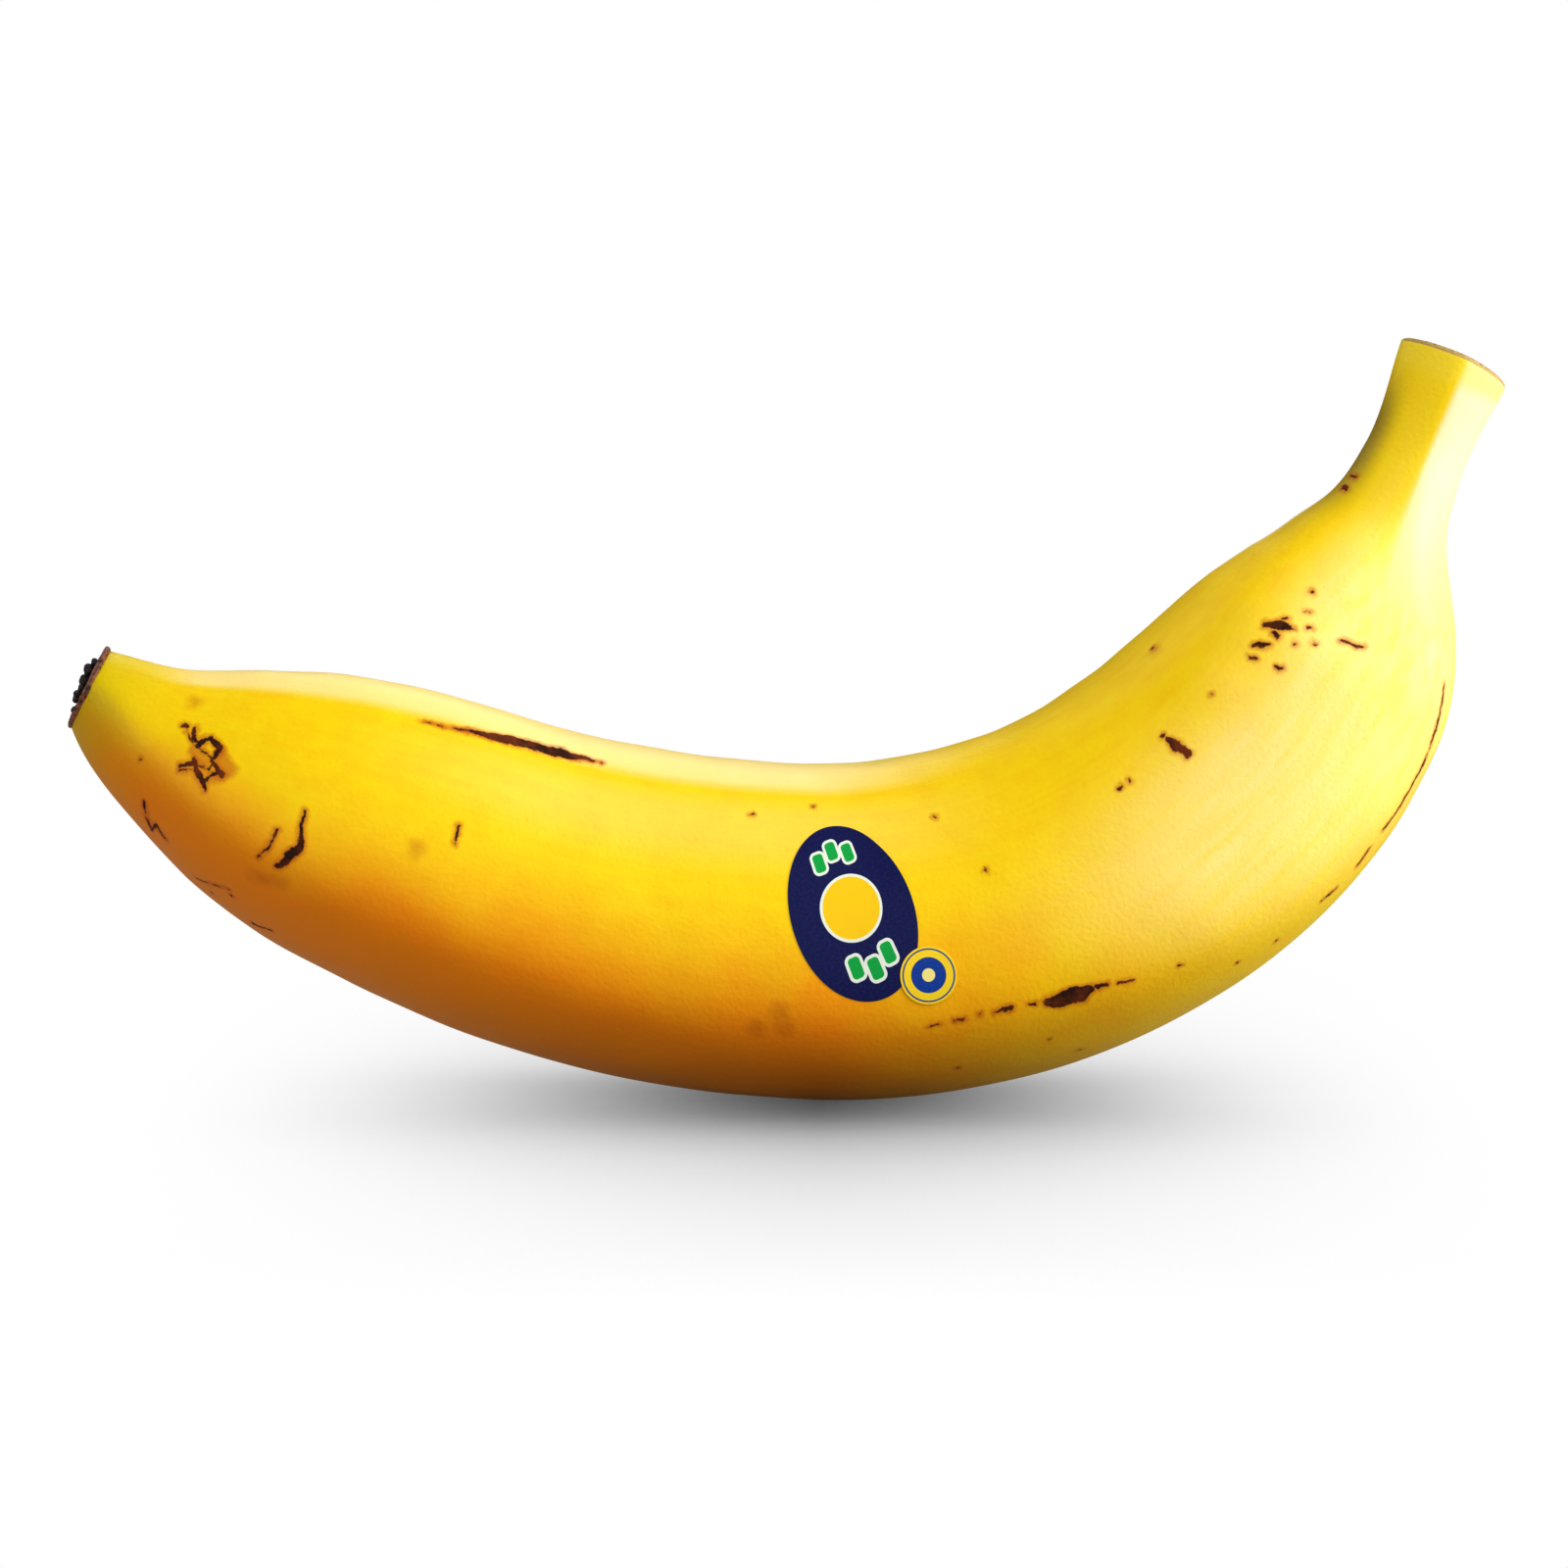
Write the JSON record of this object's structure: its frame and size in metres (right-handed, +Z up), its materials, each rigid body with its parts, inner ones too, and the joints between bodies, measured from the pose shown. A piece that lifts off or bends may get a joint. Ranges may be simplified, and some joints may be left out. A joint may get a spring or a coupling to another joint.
{
  "type": "banana",
  "caption": "Ripe yellow banana lying on its outer curve, with a short cut stalk, a dark blossom scar and small plain stickers on its side.",
  "frame": {"origin": "middle of the small flat on the outer curve that the fruit rests on", "axes": "+X from the blossom end toward the stalk, +Y away from the side with the stickers, +Z up"},
  "size_m": [0.1676, 0.0396, 0.0885],
  "materials": {
    "peel": "satin, finely pored, with brown bruises",
    "navy_sticker": "printed, smooth",
    "yellow_sticker": "printed, smooth"
  },
  "bodies": {
    "root": {"banana": "peel", "oval_sticker": "navy_sticker", "round_sticker": "yellow_sticker"}
  },
  "joints": []
}
